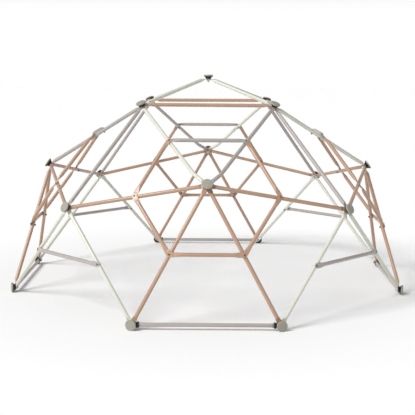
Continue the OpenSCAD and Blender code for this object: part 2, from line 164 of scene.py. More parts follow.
CROWN = np.array([0, 0, GROUND_HUB_Z + SPHERE_R + CROWN_RISE])
TOP = np.array([EDGE / 2, -EDGE / 2, GROUND_HUB_Z + EDGE * math.sqrt(2)])
SIDE = CENTRE + SPHERE_R * unit(np.array([0, -1, math.sqrt(0.5)]))
CORNER = np.array([EDGE, -EDGE, GROUND_HUB_Z + EDGE * math.sqrt(0.5)])
FOOT = np.array([EDGE / 2, -1.5 * EDGE, GROUND_HUB_Z])
NEXT_FOOT = turned(mirrored(FOOT), 1)

HUBS = [(CROWN, "crown")]
for quarter in range(4):
    HUBS += [(turned(p, quarter), kind) for p, kind in ((TOP, "top"), (SIDE, "side"), (CORNER, "corner"))]
FEET = [(turned(p, quarter), "foot") for quarter in range(4) for p in (FOOT, mirrored(FOOT))]


# --- Meshes ---

def make_piece(name, vertices, faces, material, slot, node):
    """One mesh object at the origin, from an array of points and a list of face arrays."""
    mesh = bpy.data.meshes.new(name)
    mesh.from_pydata(vertices.tolist(), [], [f for block in faces for f in block.tolist()])
    mesh.polygons.foreach_set("use_smooth", np.ones(len(mesh.polygons), bool))
    mesh.materials.append(material)
    mesh.validate()
    piece = bpy.data.objects.new(name, mesh)
    bpy.context.scene.collection.objects.link(piece)
    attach(piece, "root")
    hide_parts(node)
    return piece


def shell_faces(rings, around, start_pole, end_pole, first=0):
    """Faces of a tube of rings: quads between neighbours, and a fan to a pole at each closed end.

    The poles are the two points after the rings. Rings go anticlockwise as seen from the end of the tube.
    """
    i = np.arange(rings - 1)[:, None] * around
    j = np.arange(around)[None, :]
    k = (j + 1) % around
    quads = np.stack([i + j, i + k, i + around + k, i + around + j], -1).reshape(-1, 4) + first
    blocks = [quads]
    ring = np.arange(around)
    after = (ring + 1) % around
    last = (rings - 1) * around
    if start_pole is not None:
        blocks.append(np.stack([np.full(around, start_pole), after, ring], -1) + first)
    if end_pole is not None:
        blocks.append(np.stack([np.full(around, end_pole), last + ring, last + after], -1) + first)
    return blocks


def joined(parts):
    """Several (points, faces) as one: each part's faces count on from the points before it."""
    points, blocks, count = [], [], 0
    for vertices, faces in parts:
        points.append(vertices)
        blocks += [f + count for f in faces]
        count += len(vertices)
    return np.concatenate(points), blocks


def placed(part, origin, x, y, z):
    """A part with its X, Y and Z turned to the unit vectors x, y and z, at origin."""
    vertices, faces = part
    return vertices @ np.array([x, y, z]) + origin, faces


def hub_axes(p):
    """Unit X, Y and Z of a hub at p: Z straight out, Y level."""
    z = outward(p)
    y = np.array([0.0, 1.0, 0.0]) if abs(z[2]) > 0.9999 else unit(np.cross([0, 0, 1], z))
    return np.cross(y, z), y, z


def arc(centre_r, centre_z, radius, start, end, steps=6):
    """Points of a circular arc in a profile, from one angle to the other, in degrees."""
    a = np.radians(np.linspace(start, end, steps))
    return np.stack([centre_r + radius * np.cos(a), centre_z + radius * np.sin(a)], -1)


def around_z(r, a, height):
    """Points (r cos a, r sin a, height), one row of them for each height."""
    return np.stack([r * np.cos(a), r * np.sin(a), np.broadcast_to(height, r.shape)], -1).reshape(-1, 3)


def turned_part(profile, around=48, shape=None):
    """A profile of (radius, height) carried round Z, from a pole on the axis to another.

    shape(angle, row) gives a factor on the radius, for flutes and hexagons. A profile goes from the
    bottom pole to the top one, outside to the right.
    """
    profile = np.asarray(profile, float)
    a = np.linspace(0, 2 * np.pi, around, endpoint=False)
    rings = profile[1:-1]
    factor = np.ones((len(rings), around)) if shape is None else shape(a[None, :], rings)
    r = rings[:, :1] * factor
    points = around_z(r, a, rings[:, 1:])
    poles = np.array([[0, 0, profile[0, 1]], [0, 0, profile[-1, 1]]])
    vertices = np.concatenate([points, poles])
    faces = shell_faces(len(rings), around, len(points), len(points) + 1)
    return vertices, faces


def turned_ring(profile, around=48, shape=None):
    """A closed profile of (radius, height) carried round Z: a part with a hole through it."""
    profile = np.asarray(profile, float)
    a = np.linspace(0, 2 * np.pi, around, endpoint=False)
    factor = np.ones((len(profile), around)) if shape is None else shape(a[None, :], profile)
    r = profile[:, :1] * factor
    points = around_z(r, a, profile[:, 1:])
    rows = len(profile)
    i = np.arange(rows)[:, None] * around
    up = ((np.arange(rows) + 1) % rows)[:, None] * around
    j = np.arange(around)[None, :]
    k = (j + 1) % around
    quads = np.stack([i + j, i + k, up + k, up + j], -1).reshape(-1, 4)
    return points, [quads]


# --- Bars ---

def filleted_path(corners, radii):
    """A path through the corners with a circular arc at each inner one.

    Gives its stretches in order, each (length, function of the distance along it that returns points
    and directions), and the distance along the path of each arc's middle.
    """
    stretches, middles, here, travelled = [], [], corners[0], 0.0
    for corner, after, radius in zip(corners[1:-1], corners[2:], radii, strict=True):
        d1, d2 = unit(corner - here), unit(after - corner)
        turn = math.acos(min(1.0, d1 @ d2))
        trim = radius * math.tan(turn / 2)
        run = np.linalg.norm(corner - here) - trim
        stretches.append((run, straight(here, d1)))
        stretches.append((radius * turn, bend(corner - trim * d1, d1, unit(in_plane(d2, d1)), radius)))
        middles.append(travelled + run + radius * turn / 2)
        travelled += run + radius * turn
        here = corner + trim * d2
    stretches.append((np.linalg.norm(corners[-1] - here), straight(here, unit(corners[-1] - here))))
    return stretches, middles


def straight(start, direction):
    """Points start + distance * direction."""
    return lambda s: (start + s[:, None] * direction, np.broadcast_to(direction, (len(s), 3)))


def bend(start, direction, side, radius):
    """Points on a circle that leaves start along direction and turns towards side."""
    def along(s):
        a = (s / radius)[:, None]
        points = start + radius * (np.sin(a) * direction + (1 - np.cos(a)) * side)
        return points, np.cos(a) * direction + np.sin(a) * side
    return along


def walk(stretches, distance):
    """Points and directions at the given distances along a path, stretch by stretch."""
    points, directions = np.zeros((len(distance), 3)), np.zeros((len(distance), 3))
    start = 0.0
    for number, (length, along) in enumerate(stretches):
        last = number == len(stretches) - 1
        here = (distance >= start) & ((distance < start + length) | last)
        points[here], directions[here] = along(distance[here] - start)
        start += length
    return points, directions


def pressed_section(beyond_bend, flare):
    """Half width, half thickness and squareness of a tube's section, by the distance past the bend.

    Over the flare, the half thickness rises from the flat's to the tube's radius on a smooth step, and
    the half width falls from the flat's to that radius on the same step. The section is a superellipse,
    whose exponent falls from 7, nearly a flat bar, to 2, a circle.
    """
    t = np.clip((beyond_bend - FLAT_RUN) / flare, 0, 1)
    rise = np.sin(t * np.pi / 2) ** 1.5 * (1 - t) + t ** 1.9
    half_t = WALL + (TUBE_R - WALL) * rise
    half_w = FLAT_HALF_W + (TUBE_R - FLAT_HALF_W) * rise
    power = 2 + 5 * (1 - rise) ** 1.5
    return half_w, half_t, power


def superellipse(half_w, half_t, power, around):
    """Points (w, t) of sections |w / half_w| ^ power + |t / half_t| ^ power = 1, one row each."""
    a = np.linspace(0, 2 * np.pi, around, endpoint=False)
    c, s = np.cos(a)[None, :], np.sin(a)[None, :]
    exponent = 2 / power[:, None]
    w = half_w[:, None] * np.sign(c) * np.abs(c) ** exponent
    t = half_t[:, None] * np.sign(s) * np.abs(s) ** exponent
    return w, t


def end_stations(tip, bend, flare):
    """Distances of the sections of a bar's end from its tip: close together at the tip, bend and flare."""
    tip_steps = tip * (1 - np.cos(np.linspace(0, np.pi / 2, 9)))
    flat_steps = np.linspace(tip, bend - 0.004, 4)
    bend_steps = bend + np.linspace(-0.0025, 0.0025, 5)
    flare_steps = bend + FLAT_RUN + flare * np.linspace(0, 1, 22)
    return np.concatenate([[0.00004], tip_steps[1:], flat_steps[1:], bend_steps, flare_steps])


def middle_stations(start, end, knees):
    """Distances of the sections between a bar's two flares: few when straight, close round each knee."""
    even = np.linspace(start, end, 3 + 8 * len(knees))[1:-1]
    round_knees = [knee + np.linspace(-0.034, 0.034, 15) for knee in knees]
    return np.sort(np.concatenate([even, *round_knees]))


def bar_part(corners, radii, across, tip, flare):
    """A bar as sections carried along its path, with round tips at both ends.

    corners are the two tips' ends and the bends between them. The width direction goes evenly from one
    across to the other. At the tip, the half width is sqrt(1 - (1 - s / R)^2) times the tip's radius R, a
    circle's. From there to the bend it goes evenly to the flat's.
    """
    stretches, middles = filleted_path(corners, radii)
    total = sum(length for length, _ in stretches)
    first, last = middles[0], total - middles[-1]
    near = end_stations(tip, first, flare)
    far = near - first + last
    between = middle_stations(near[-1], total - far[-1], middles[1:-1])
    s = np.concatenate([near, between, (total - far)[::-1]])
    points, directions = walk(stretches, s)
    from_tip = np.minimum(s, total - s)
    beyond = np.where(s < total / 2, s - first, total - last - s)
    half_w, half_t, power = pressed_section(beyond, flare)
    inset = np.clip(1 - from_tip / TIP_R, 0, 1)
    round_tip = TIP_R * np.sqrt(1 - inset ** 2)
    widening = np.clip((from_tip - TIP_R) / (first - TIP_R), 0, 1)
    half_w = np.where(from_tip < TIP_R, round_tip, TIP_R + (half_w - TIP_R) * widening)
    half_t = half_t * np.sqrt(1 - np.clip(1 - from_tip / WALL, 0, 1) ** 2)
    w, t = superellipse(half_w, half_t, power, BAR_SIDES)
    share = np.clip((s - first) / total, 0, 1)[:, None]
    side = across[0] * (1 - share) + across[1] * share
    side -= np.sum(side * directions, 1, keepdims=True) * directions
    side /= np.linalg.norm(side, axis=1, keepdims=True)
    out = np.cross(directions, side)
    rings = points[:, None] + w[..., None] * side[:, None] + t[..., None] * out[:, None]
    ends = walk(stretches, np.array([0.0, total]))[0]
    vertices = np.concatenate([rings.reshape(-1, 3), ends])
    count = len(s) * BAR_SIDES
    return vertices, shell_faces(len(s), BAR_SIDES, count, count + 1)


def straight_bar(p1, p2, reach, tip=TIP_R, flare=MAIN_FLARE):
    """A bar bolted at p1 and p2, bent off both hubs' tangent planes."""
    b1, b2 = bend_point(p1, p2, reach), bend_point(p2, p1, reach)
    across = np.cross(outward((b1 + b2) / 2), unit(b2 - b1))
    corners = [p1 - tip * unit(b1 - p1), b1, b2, p2 - tip * unit(b2 - p2)]
    return bar_part(corners, [BEND_R, BEND_R], (across, across), tip, flare)


def main_bars(*pairs):
    """Straight main bars, each between its pair of bolts."""
    return joined([straight_bar(p1, p2, HUB_REACH) for p1, p2 in pairs])


# The curved upper bars: on the right of the front side one leaves the side hub SWING below the straight
# line to the top hub, leaves that hub's plane along DIP, and bends to meet the line's end at the knee
STRAIGHT_LENGTH = np.linalg.norm(TOP - SIDE)
SIDE_UP = unit(in_plane(np.array([0, 0, 1.0]), outward(SIDE)))
LEAVE = math.cos(math.pi / 3 - SWING) * np.array([1, 0, 0]) + math.sin(math.pi / 3 - SWING) * SIDE_UP
DIP_ANGLE = math.asin(STRAIGHT_LENGTH / 2 / SPHERE_R)
DIP = math.cos(DIP_ANGLE) * LEAVE - math.sin(DIP_ANGLE) * outward(SIDE)
GREY_LEVELS = (4, 1)
CREAM_LEVELS = (5, 2)


def curved_corners(side_level, top_level):
    """Bolt, bend, knee, bend and bolt of the right-hand curved bar at those levels of its hubs' stacks."""
    side_end, top_end = stacked(SIDE, side_level, "side"), stacked(TOP, top_level, "top")
    side_bend = side_end + HUB_REACH * LEAVE
    knee = side_bend + (KNEE_REACH - HUB_REACH) * DIP
    return side_end, side_bend, knee, bend_point(top_end, knee, HUB_REACH), top_end


def upper_joint(levels):
    """Where the top rung is bolted to that bar."""
    _, _, knee, top_bend, _ = curved_corners(*levels)
    return top_bend + (UPPER_JOINT_AT * STRAIGHT_LENGTH - HUB_REACH) * unit(knee - top_bend)


def curved_bar(levels):
    """The right-hand curved bar at those levels."""
    side_end, side_bend, knee, top_bend, top_end = curved_corners(*levels)
    lower = unit(np.cross(outward(side_bend), knee - side_bend))
    upper = unit(np.cross(outward(knee), top_bend - knee))
    corners = [
        side_end - TIP_R * LEAVE, side_bend, knee, top_bend, top_end - TIP_R * unit(top_bend - top_end)
    ]
    return bar_part(corners, [BEND_R, KNEE_R, BEND_R], (lower, upper), TIP_R, MAIN_FLARE)


def mirrored_part(part):
    """A part on the other half of the front side."""
    vertices, faces = part
    return vertices * np.array([-1.0, 1.0, 1.0]), [f[:, ::-1] for f in faces]


# The main bars that carry rungs, each as its two bolts
RIGHT_SIDE_BAR = (stacked(SIDE, 2, "side"), stacked(CORNER, 3, "corner"))
LEFT_SIDE_BAR = (stacked(SIDE, 3, "side"), stacked(mirrored(CORNER), 2, "corner"))
RIGHT_LOWER_BAR = (stacked(SIDE, 0, "side"), stacked(FOOT, 2, "foot"))
LEFT_LOWER_BAR = (stacked(SIDE, 1, "side"), stacked(mirrored(FOOT), 2, "foot"))
FRONT_LEG = (stacked(CORNER, 1, "corner"), stacked(FOOT, 1, "foot"))
RIGHT_LEG = (stacked(CORNER, 0, "corner"), stacked(NEXT_FOOT, 1, "foot"))
RING = [
    mirrored(upper_joint(CREAM_LEVELS)), upper_joint(GREY_LEVELS),
    bar_middle(*RIGHT_SIDE_BAR), bar_middle(*RIGHT_LOWER_BAR),
    bar_middle(*LEFT_LOWER_BAR), bar_middle(*LEFT_SIDE_BAR),
]
RING_GAP = [CURVED_SEAT] * 2 + [STRAIGHT_SEAT] * 4
LEG_JOINTS = (bar_middle(*FRONT_LEG), bar_middle(*RIGHT_LEG))


def rung(p1, p2):
    """A rung bolted at p1 and p2."""
    return straight_bar(p1, p2, RUNG_REACH, RUNG_TIP, RUNG_FLARE)


def ring_rung(i):
    """The rung from bolt place i of a side's ring to the next one."""
    j = (i + 1) % 6
    return rung(seated(RING[i], 0, RING_GAP[i]), seated(RING[j], 1, RING_GAP[j]))


# --- Hub parts, with Z out from the stack of flat ends ---

def cap_part():
    """Moulded lid: a stub inside, a skirt with a little draft, a rounded edge and a domed face.

    The face falls by the square of the radius. It has a shallow ring and a dimple, whose depths are
    Gaussians of the radius: depth * exp(-((r - middle) / width)^2).
    """
    inner, underside, draft = BODY_R + SKIRT_GAP, CAP_H - CAP_FACE, 0.0002
    lip_in, lip_out, chamfer = 0.0007, 0.0008, 0.0006
    ring_r, ring_w, ring_depth = 0.0272, 0.0009, 0.00045
    dimple_w, dimple_depth = 0.0022, 0.0005
    face_r = CAP_R - CAP_EDGE_R
    r = np.linspace(face_r, 0.0, 26)[1:]
    dome = CAP_H - CAP_DOME_H * (r / face_r) ** 2
    ring = ring_depth * np.exp(-((r - ring_r) / ring_w) ** 2)
    dimple = dimple_depth * np.exp(-(r / dimple_w) ** 2)
    return turned_part(np.concatenate([
        [[0, underside - STUB_H], [STUB_R - chamfer, underside - STUB_H]],
        [[STUB_R, underside - STUB_H + chamfer], [STUB_R, underside], [inner, underside]],
        arc(inner + lip_in, lip_in, lip_in, 180, 270, 3),
        arc(CAP_R - draft - lip_out, lip_out, lip_out, -90, 0, 4),
        arc(face_r, CAP_H - CAP_DOME_H - CAP_EDGE_R, CAP_EDGE_R, 0, 90, 9),
        np.stack([r, dome - ring - dimple], -1),
    ]), 64)


def body_part():
    """Dished body: a round foot, twelve flutes up the dish, a straight wall under the cap and a bolt pocket.

    The dish is a power of 2.2 of the height. The flutes take up to 9 % off the radius, as the fourth power
    of a cosine of six times the angle, and fade out at the foot and at the wall.
    """
    bolt, edge, dish_top = HUB_BOLT_R + BOLT_PLAY, 0.0006, 0.6 * BODY_H
    rim = 0.0008
    dish = np.linspace(0, 1, 14)
    profile = np.concatenate([
        [[bolt, 0], [BODY_FOOT_R - edge, 0], [BODY_FOOT_R, edge]],
        np.stack([
            BODY_FOOT_R + (BODY_R - BODY_FOOT_R) * dish ** 2.2, BODY_FOOT_H + (dish_top - BODY_FOOT_H) * dish
        ], -1),
        arc(BODY_R - rim, BODY_H - rim, rim, 0, 90, 4),
        [[POCKET_R, BODY_H], [POCKET_R, POCKET_FLOOR], [bolt, POCKET_FLOOR]],
    ])
    middle, reach, depth = (BODY_FOOT_H + dish_top) / 2, 0.0038, 0.09

    def flutes(a, rows):
        outside = rows[:, :1] > POCKET_R
        window = np.where(outside, np.exp(-((rows[:, 1:] - middle) / reach) ** 4), 0)
        return 1 - depth * window * np.cos(6 * a) ** 4
    return turned_ring(profile, 96, flutes)


def washer_part():
    """Plain washer, punched: its outer edge is rounder on one face, and its hole has a small chamfer."""
    bolt, sharp, blunt, chamfer = HUB_BOLT_R + BOLT_PLAY, 0.0003, 0.0006, 0.0002
    return turned_ring(np.concatenate([
        [[bolt, 0]], arc(WASHER_R - sharp, sharp, sharp, -90, 0, 4),
        arc(WASHER_R - blunt, WASHER_T - blunt, blunt, 0, 90, 5),
        [[bolt + chamfer, WASHER_T], [bolt, WASHER_T - chamfer]],
    ]), 56)


def hexagon(a):
    """Radius of a hexagon with rounded corners: apothem over the cosine to the nearest flat's middle."""
    near = (a + np.pi / 6) % (np.pi / 3) - np.pi / 6
    return np.minimum(math.cos(np.pi / 6) / np.cos(near), 0.975)


def hub_nut_part():
    """Domed nut: a hexagon with chamfered corners below a dome, which is a flattened quarter circle."""
    inner, dome_foot, dome_r, flattening = 0.9 * HUB_NUT_R, HUB_NUT_H - 0.0005, 0.0079, 0.78
    chamfer, upper_chamfer = 0.0008, 0.0012
    profile = np.concatenate([
        [[0, 0], [HUB_BOLT_R, 0], [inner, 0], [HUB_NUT_R, chamfer], [HUB_NUT_R, HUB_NUT_H - upper_chamfer]],
        [[inner, dome_foot]], arc(0, 0, dome_r, 0, 90, 9) * [1, flattening] + [0, dome_foot],
    ])

    def shape(a, rows):
        on_flats = (rows[:, :1] > inner) & (rows[:, 1:] < HUB_NUT_H)
        return np.where(on_flats, hexagon(a), 1.0)
    return turned_part(profile, 48, shape)


def rung_bolt_part(stack, gap):
    """Bolt with a low round head and a hexagon socket; its shank goes on through the tube into the nut.

    The head is the part of an ellipse between 10 and 62 degrees, cut off level at the socket.
    """
    top = TUBE_R + gap + stack * FLAT_PITCH
    foot = -TUBE_R - RUNG_NUT_H + NUT_ROOF
    chamfer, rim, head_h = 0.0005, 0.0004, 0.0040
    socket_r, socket_depth, socket_rim = 0.0022, 0.0022, 0.0003
    a = np.radians(np.linspace(10, 62, 8))
    head = np.stack([RUNG_HEAD_R * np.cos(a), top + rim + head_h * np.sin(a)], -1)
    crown = head[-1, 1]
    profile = np.concatenate([
        [[0, foot], [RUNG_BOLT_R - chamfer, foot], [RUNG_BOLT_R, foot + chamfer], [RUNG_BOLT_R, top]],
        [[RUNG_HEAD_R - rim, top], [RUNG_HEAD_R, top + rim]], head,
        [[socket_r + 0.0002, crown], [socket_r, crown - socket_rim], [socket_r, crown - socket_depth]],
        [[0, crown - socket_depth - 0.0002]],
    ])

    def shape(a, rows):
        in_socket = (rows[:, :1] < socket_r + 0.0001) & (rows[:, 1:] > top)
        return np.where(in_socket, hexagon(a), 1.0)
    return turned_part(profile, 36, shape)


def rung_nut_part():
    """Cover nut: a hexagon skirt that runs into a round dome. Z points at the middle of the dome.

    The dome is nearly a quarter of an ellipse. The hexagon blends in evenly over the first millimetre and out
    again between 2 and 5 mm up.
    """
    a = np.radians(np.linspace(8, 90, 10))
    r, skirt, chamfer = RUNG_NUT_R - 0.0002, 0.0032, 0.0005
    blended_in, blend_out, round_from = 0.001, 0.002, 0.005
    dome = np.stack([r * np.cos(a), skirt + (RUNG_NUT_H - skirt) * np.sin(a)], -1)
    profile = np.concatenate([[[0, 0], [r - chamfer, 0], [r, 0.0006], [r, 0.0014], [r, 0.0026]], dome])

    def shape(a, rows):
        height = rows[:, 1:]
        fade = (round_from - height) / (round_from - blend_out)
        return 1 - np.clip(height / blended_in, 0, 1) * np.clip(fade, 0, 1) * (1 - hexagon(a))
    return turned_part(profile, 48, shape)


def sleeve_part():
    """Block round the bend of a ground bar, with the hub bolt at the origin and the bar along X.

    Its outline, in X and Y, is a five-cornered plate whose upper corner is cut along the edge of the bar
    that leaves the hub at 60 degrees, with each point averaged with its neighbours. At a height Z of u
    half thicknesses, it is drawn in towards its middle by 0.22 * (1 - (1 - |u|^5)^(1/5)), so its edges are
    round, and by three narrow Gaussian grooves.
    """
    draw_in, squareness = 0.22, 5
    groove_depth, groove_w, grooves = 0.012, 0.0006, np.array([-0.0045, 0, 0.0045])
    sine, cosine = math.sin(math.pi / 3), math.cos(math.pi / 3)
    edge_at_top = (FLAT_HALF_W + SLEEVE_GAP + SLEEVE_HALF_H * cosine) / sine
    cut_height = (SLEEVE_START * sine - FLAT_HALF_W - SLEEVE_GAP) / cosine
    corners = np.array([
        [SLEEVE_START, -SLEEVE_HALF_H], [SLEEVE_END, -SLEEVE_HALF_H], [SLEEVE_END, SLEEVE_HALF_H],
        [edge_at_top, SLEEVE_HALF_H], [SLEEVE_START, cut_height],
    ])
    share = np.linspace(0, 1, 12, endpoint=False)[:, None]
    steps_on = np.roll(corners, -1, 0) - corners
    outline = (corners[:, None] + steps_on[:, None] * share).reshape(-1, 2)
    soft = sum(np.roll(outline, k, 0) * weight for k, weight in ((-1, 0.25), (0, 0.5), (1, 0.25)))
    middle = corners.mean(0)
    u = np.sin(np.linspace(-np.pi / 2, np.pi / 2, 22)[1:-1])
    z = SLEEVE_HALF_T * u
    edge = draw_in * (1 - (1 - np.abs(u) ** squareness) ** (1 / squareness))
    groove = groove_depth * np.exp(-((z[:, None] - grooves) / groove_w) ** 2).sum(1)
    rings = middle + (soft[None] - middle) * (1 - edge - groove)[:, None, None]
    rings = np.concatenate([rings, np.broadcast_to(z[:, None, None], (len(z), len(soft), 1))], -1)
    ends = np.array([[*middle, -SLEEVE_HALF_T], [*middle, SLEEVE_HALF_T]])
    count = len(z) * len(soft)
    return np.concatenate([rings.reshape(-1, 3), ends]), shell_faces(len(z), len(soft), count, count + 1)


# --- Materials ---

# Sockets of a Mix node that mixes colours
MIX_FACTOR, MIX_FIRST, MIX_SECOND, MIX_RESULT = 0, 6, 7, 2


def node_tree(name):
    """A new material with a Principled shader, and its tree's nodes and links."""
    material = bpy.data.materials.new(name)
    material.use_nodes = True
    tree = material.node_tree
    return material, tree, tree.nodes["Principled BSDF"]


def noise(tree, scale, detail=3.0, roughness=0.5):
    """A noise pattern on Object coordinates, scale in cells per metre; gives its factor socket."""
    place = tree.nodes.new("ShaderNodeTexCoord")
    pattern = tree.nodes.new("ShaderNodeTexNoise")
    pattern.inputs["Scale"].default_value = scale
    pattern.inputs["Detail"].default_value = detail
    pattern.inputs["Roughness"].default_value = roughness
    tree.links.new(place.outputs["Object"], pattern.inputs["Vector"])
    return pattern.outputs["Fac"]


def spread(tree, factor, low, high, start=0.3, end=0.7):
    """Maps a factor between start and end to values between low and high."""
    ramp = tree.nodes.new("ShaderNodeMapRange")
    for socket, value in (("From Min", start), ("From Max", end), ("To Min", low), ("To Max", high)):
        ramp.inputs[socket].default_value = value
    tree.links.new(factor, ramp.inputs["Value"])
    return ramp.outputs["Result"]


def mixed(tree, factor, first, second):
    """A colour between two others, by a factor socket; each colour is a socket or three numbers."""
    mix = tree.nodes.new("ShaderNodeMix")
    mix.data_type = "RGBA"
    for socket, value in ((MIX_FIRST, first), (MIX_SECOND, second)):
        if isinstance(value, tuple):
            mix.inputs[socket].default_value = (*value, 1)
        else:
            tree.links.new(value, mix.inputs[socket])
    tree.links.new(factor, mix.inputs[MIX_FACTOR])
    return mix.outputs[MIX_RESULT]


def bumped(tree, shader, *layers):
    """Bump from several (height socket, distance in metres), each on top of the last."""
    normal = None
    for height, distance in layers:
        bump = tree.nodes.new("ShaderNodeBump")
        bump.inputs["Strength"].default_value = 1.0
        bump.inputs["Distance"].default_value = distance
        tree.links.new(height, bump.inputs["Height"])
        if normal is not None:
            tree.links.new(normal, bump.inputs["Normal"])
        normal = bump.outputs["Normal"]
    tree.links.new(normal, shader.inputs["Normal"])


def powder_coat(name, colour, shade):
    """Baked powder paint: orange peel, slightly uneven thickness, and small rubbed and dusty patches."""
    material, tree, shader = node_tree(name)
    tone = mixed(tree, spread(tree, noise(tree, 9.0), 0, 1), colour, shade)
    rub_place = spread(tree, noise(tree, 34.0, 5.0, 0.62), 0, 0.55, 0.60, 0.72)
    worn = tuple(min(1.0, c * 0.9 + 0.06) for c in colour)
    tree.links.new(mixed(tree, rub_place, tone, worn), shader.inputs["Base Color"])
    tree.links.new(spread(tree, noise(tree, 60.0, 4.0), 0.28, 0.42), shader.inputs["Roughness"])
    shader.inputs["Specular IOR Level"].default_value = 0.45
    shader.inputs["Coat Weight"].default_value = 0.30
    shader.inputs["Coat Roughness"].default_value = 0.25
    bumped(tree, shader, (noise(tree, 520.0, 2.0), 0.00022), (noise(tree, 1700.0, 2.0), 0.00006))
    return material


def moulded_plastic(name, colour, shade, grain, gloss):
    """Injection moulded plastic: a fine spark-eroded grain, faint flow marks and handling scuffs."""
    material, tree, shader = node_tree(name)
    tone = mixed(tree, spread(tree, noise(tree, 45.0, 4.0), 0, 1), colour, shade)
    scuff = spread(tree, noise(tree, 150.0, 6.0, 0.7), 0, 0.5, 0.62, 0.75)
    light = tuple(min(1.0, c + 0.05) for c in colour)
    tree.links.new(mixed(tree, scuff, tone, light), shader.inputs["Base Color"])
    tree.links.new(spread(tree, noise(tree, 220.0, 3.0), gloss, gloss + 0.16), shader.inputs["Roughness"])
    shader.inputs["Specular IOR Level"].default_value = 0.42
    bumped(tree, shader, (noise(tree, 1500.0, 3.0, 0.6), grain), (noise(tree, 70.0, 2.0), 0.0003))
    return material


def plated_steel(name, colour, shade, rough):
    """Zinc plated steel: small crystals of two tones, soft scratches and a satin shine."""
    material, tree, shader = node_tree(name)
    cell = tree.nodes.new("ShaderNodeTexVoronoi")
    cell.inputs["Scale"].default_value = 420.0
    place = tree.nodes.new("ShaderNodeTexCoord")
    tree.links.new(place.outputs["Object"], cell.inputs["Vector"])
    tone = mixed(tree, spread(tree, cell.outputs["Distance"], 0, 1, 0.0, 0.8), colour, shade)
    tree.links.new(tone, shader.inputs["Base Color"])
    tree.links.new(spread(tree, noise(tree, 300.0, 4.0), rough, rough + 0.15), shader.inputs["Roughness"])
    shader.inputs["Metallic"].default_value = 1.0
    bumped(tree, shader, (noise(tree, 900.0, 4.0, 0.6), 0.00008))
    return material


COPPER = powder_coat("copper_powder_coat", (0.455, 0.288, 0.198), (0.418, 0.262, 0.178))
GREY = powder_coat("taupe_powder_coat", (0.405, 0.370, 0.345), (0.375, 0.342, 0.318))
CREAM = powder_coat("cream_powder_coat", (0.640, 0.645, 0.565), (0.600, 0.605, 0.525))
GREIGE = moulded_plastic("greige_cap_plastic", (0.335, 0.318, 0.268), (0.300, 0.285, 0.240), 0.00007, 0.42)
BLACK = moulded_plastic("black_hub_plastic", (0.022, 0.019, 0.016), (0.016, 0.014, 0.012), 0.00008, 0.38)
ZINC = plated_steel("zinc_plated_steel", (0.62, 0.62, 0.60), (0.50, 0.50, 0.49), 0.28)
BRONZE = plated_steel("dark_bronze_steel", (0.230, 0.165, 0.125), (0.150, 0.110, 0.085), 0.36)


# --- Camera, floor and light ---

def set_at(place, x, y, z):
    """Matrix of a camera or light at place, with its axes along x, y and z."""
    return Matrix([[x[i], y[i], z[i], place[i]] for i in range(3)] + [[0, 0, 0, 1]])


def add_camera():
    """Camera at the eye height of an adult, 6.7 m in front of the dome's middle, looking 9 degrees down."""
    place = (0.01486, -6.70122, 1.60558)
    pitch, yaw, roll = -0.15626, -0.00234, -0.00633
    ahead = np.array([math.sin(yaw), math.cos(yaw), 0.0])
    upright = np.array([0.0, 0.0, 1.0])
    right = np.array([math.cos(yaw), -math.sin(yaw), 0.0])
    look = ahead * math.cos(pitch) + upright * math.sin(pitch)
    up = upright * math.cos(pitch) - ahead * math.sin(pitch)
    x = math.cos(roll) * right - math.sin(roll) * up
    y = math.sin(roll) * right + math.cos(roll) * up
    data = bpy.data.cameras.new("camera")
    data.sensor_width = 36.0
    data.lens = 77.46
    camera = bpy.data.objects.new("camera", data)
    bpy.context.scene.collection.objects.link(camera)
    camera.matrix_world = set_at(place, x, y, -look)
    bpy.context.scene.camera = camera


def add_key_light(place, strength, angle):
    """Wide even light from the direction of place, whose shadows are as soft as that angle."""
    data = bpy.data.lights.new("key_light", "SUN")
    data.energy = strength
    data.angle = angle
    light = bpy.data.objects.new("key_light", data)
    bpy.context.scene.collection.objects.link(light)
    z = unit(np.array(place, float))
    x = unit(np.cross([0.0, 1.0, 0.0], z))
    y = np.cross(z, x)
    light.matrix_world = set_at(place, x, y, z)


def add_studio():
    """Plain floor, pale grey under the dome as a painted shadow of the dome and white beyond it, in a white
    room, and a soft key light.

    The room is brightest level with the horizon and dims above it, so that the tubes are shaded.
    """
    half = 60.0
    mesh = bpy.data.meshes.new("floor")
    corners = [(-half, -half, 0), (half, -half, 0), (half, half, 0), (-half, half, 0)]
    mesh.from_pydata(corners, [], [(0, 1, 2, 3)])
    floor = bpy.data.objects.new("floor", mesh)
    bpy.context.scene.collection.objects.link(floor)
    material, tree, shader = node_tree("floor_painted_dome_shadow")
    place = tree.nodes.new("ShaderNodeTexCoord")
    distance = tree.nodes.new("ShaderNodeVectorMath")
    distance.operation = "LENGTH"
    tree.links.new(place.outputs["Object"], distance.inputs[0])
    # Painted shadow of the dome: the floor's colour is grey within 1.2 m of the middle and goes to white by
    # 2.4 m
    tone = spread(tree, distance.outputs["Value"], 0, 1, 1.2, 2.4)
    tree.links.new(mixed(tree, tone, (0.90, 0.90, 0.903), (1.0, 1.0, 1.0)), shader.inputs["Base Color"])
    shader.inputs["Roughness"].default_value = 0.9
    shader.inputs["Specular IOR Level"].default_value = 0.1
    mesh.materials.append(material)
    world = bpy.data.worlds.new("studio")
    bpy.context.scene.world = world
    world.use_nodes = True
    tree = world.node_tree
    place = tree.nodes.new("ShaderNodeTexCoord")
    height = tree.nodes.new("ShaderNodeSeparateXYZ")
    tree.links.new(place.outputs["Generated"], height.inputs["Vector"])
    strength = spread(tree, height.outputs["Z"], 1.0, 0.36, 0.06, 0.30)
    tree.links.new(strength, tree.nodes["Background"].inputs["Strength"])
    tree.nodes["Background"].inputs["Color"].default_value = (1, 1, 1, 1)
    add_key_light((-3.8, -2.4, 4.2), 2.9, math.radians(26))


# --- Assembly ---

